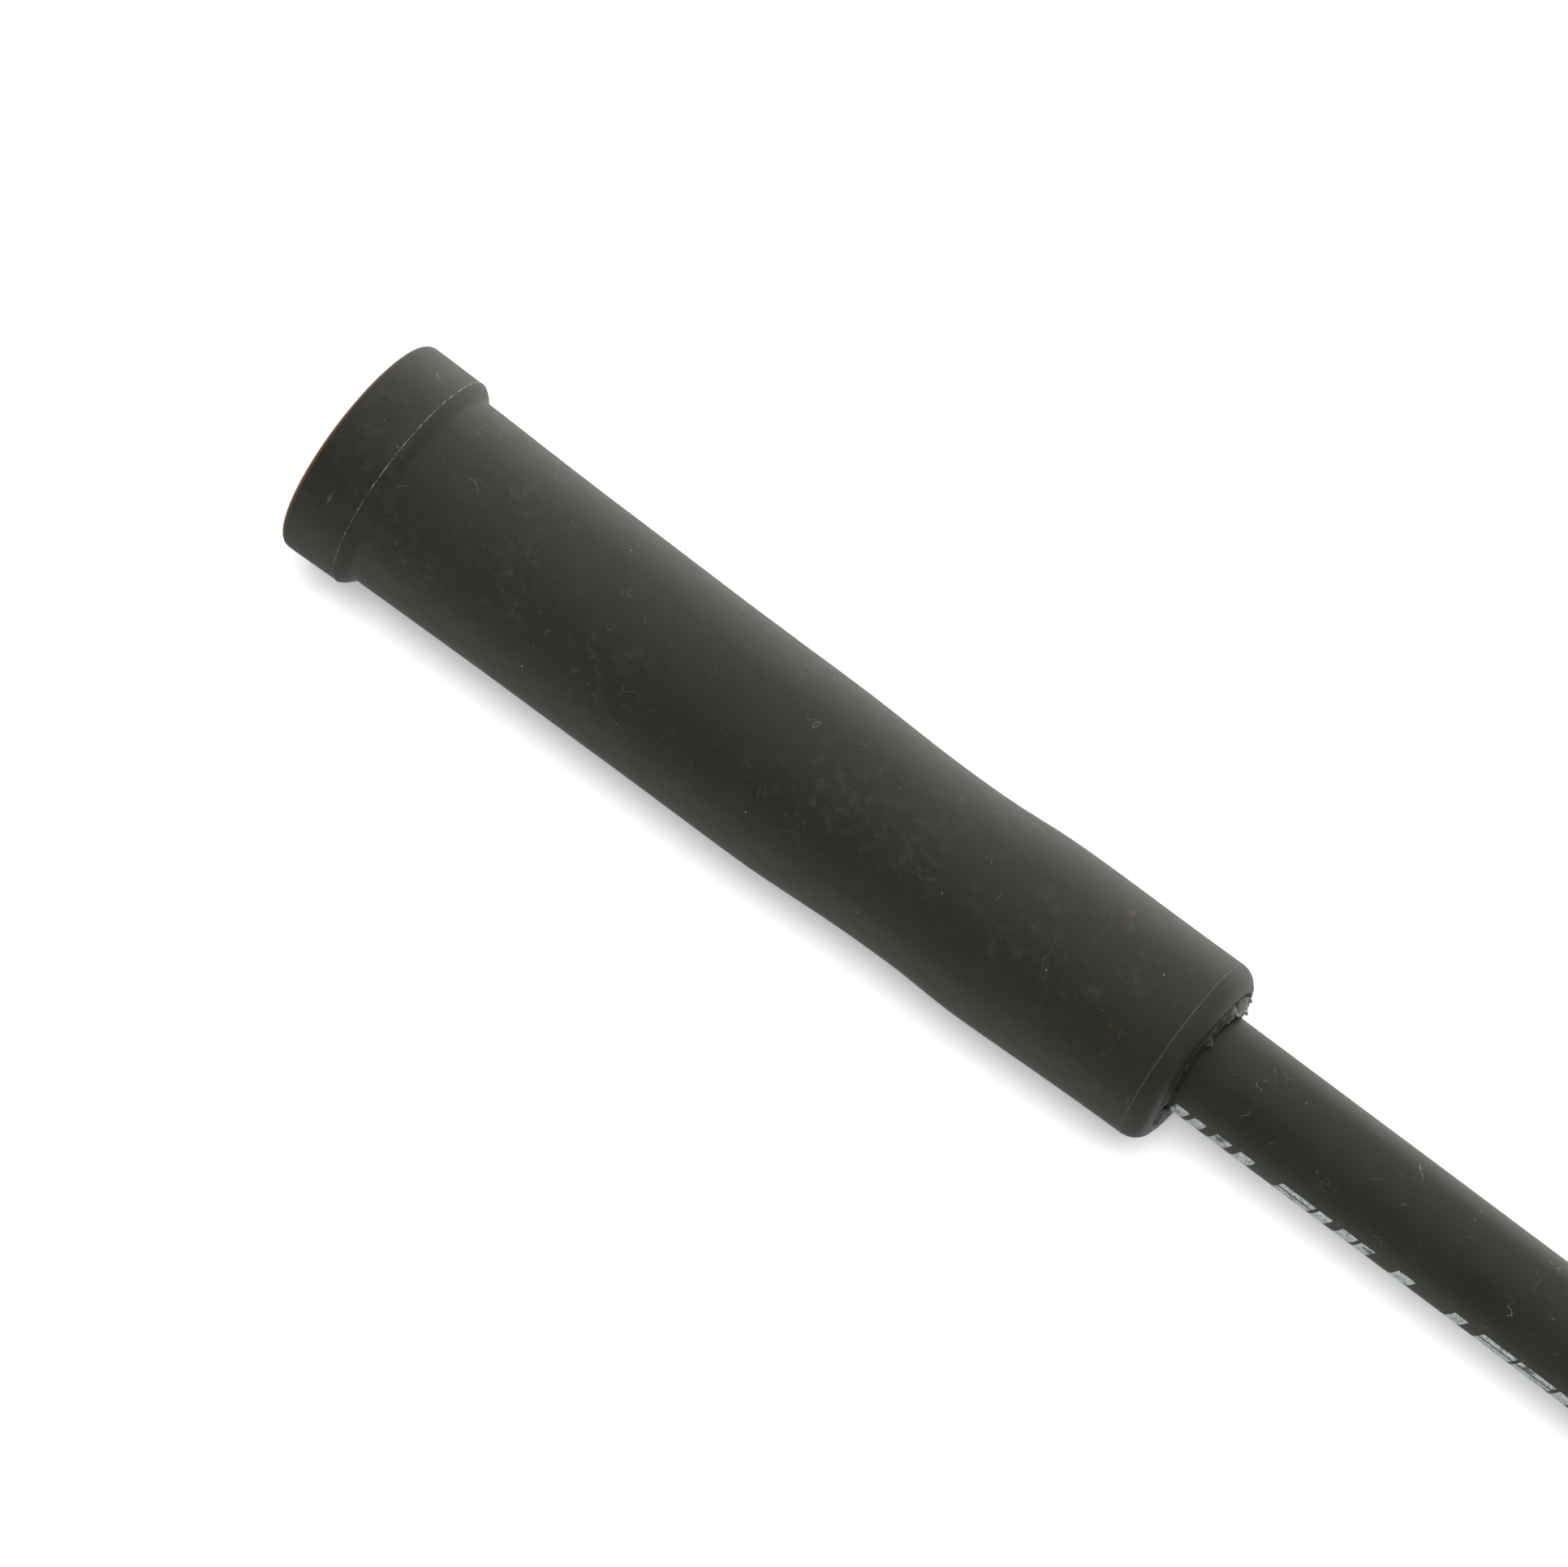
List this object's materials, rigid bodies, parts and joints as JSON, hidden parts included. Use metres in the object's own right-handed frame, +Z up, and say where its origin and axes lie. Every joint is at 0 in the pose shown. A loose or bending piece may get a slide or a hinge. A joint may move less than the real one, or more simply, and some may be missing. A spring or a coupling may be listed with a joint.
{
  "type": "spark plug lead",
  "caption": "Straight rubber spark plug boot over a push-on terminal, on a round ignition lead coiled to a distributor nipple and contact.",
  "frame": {"origin": "on the surface the lead lies on, under the middle of the plug boot", "axes": "+X along the plug boot from its mouth to its tail, +Z up, +Y towards the side where the spare lead is coiled"},
  "size_m": [0.1998, 0.1021, 0.019],
  "materials": {
    "boot_rubber": "matt moulded",
    "lead_rubber": "matt extruded",
    "insulation_rubber": "smooth",
    "core_rubber": "smooth",
    "glass_braid": "braided",
    "aramid_strands": "fibrous",
    "resistance_wire": "drawn wire",
    "stainless_sheet": "pressed sheet",
    "spring_wire": "drawn wire",
    "brass_sheet": "pressed sheet",
    "tie_nylon": "moulded"
  },
  "bodies": {
    "lead": {"plug_terminal": "stainless_sheet", "terminal_snap_ring": "spring_wire", "plug_end_jacket": "lead_rubber", "plug_end_braid": "glass_braid", "plug_end_insulation": "insulation_rubber", "plug_end_winding": "resistance_wire", "plug_end_core": "core_rubber", "plug_end_strands": "aramid_strands", "lead_straight": "lead_rubber", "lead_coil": "lead_rubber", "lead_tail": "lead_rubber", "coil_tie": "tie_nylon", "distributor_contact": "brass_sheet", "distributor_end_jacket": "lead_rubber", "distributor_end_braid": "glass_braid", "distributor_end_insulation": "insulation_rubber", "distributor_end_winding": "resistance_wire", "distributor_end_core": "core_rubber", "distributor_end_strands": "aramid_strands"},
    "plug_boot": {"plug_boot": "boot_rubber"},
    "distributor_boot": {"distributor_boot": "boot_rubber"}
  },
  "joints": [
    {"name": "plug_boot_slide", "type": "slide", "parent": "lead", "child": "plug_boot", "axis": [1, 0, 0], "range_m": [0, 0.04]},
    {"name": "distributor_boot_slide", "type": "slide", "parent": "lead", "child": "distributor_boot", "axis": [1, 0, 0], "range_m": [0, 0.014]}
  ]
}
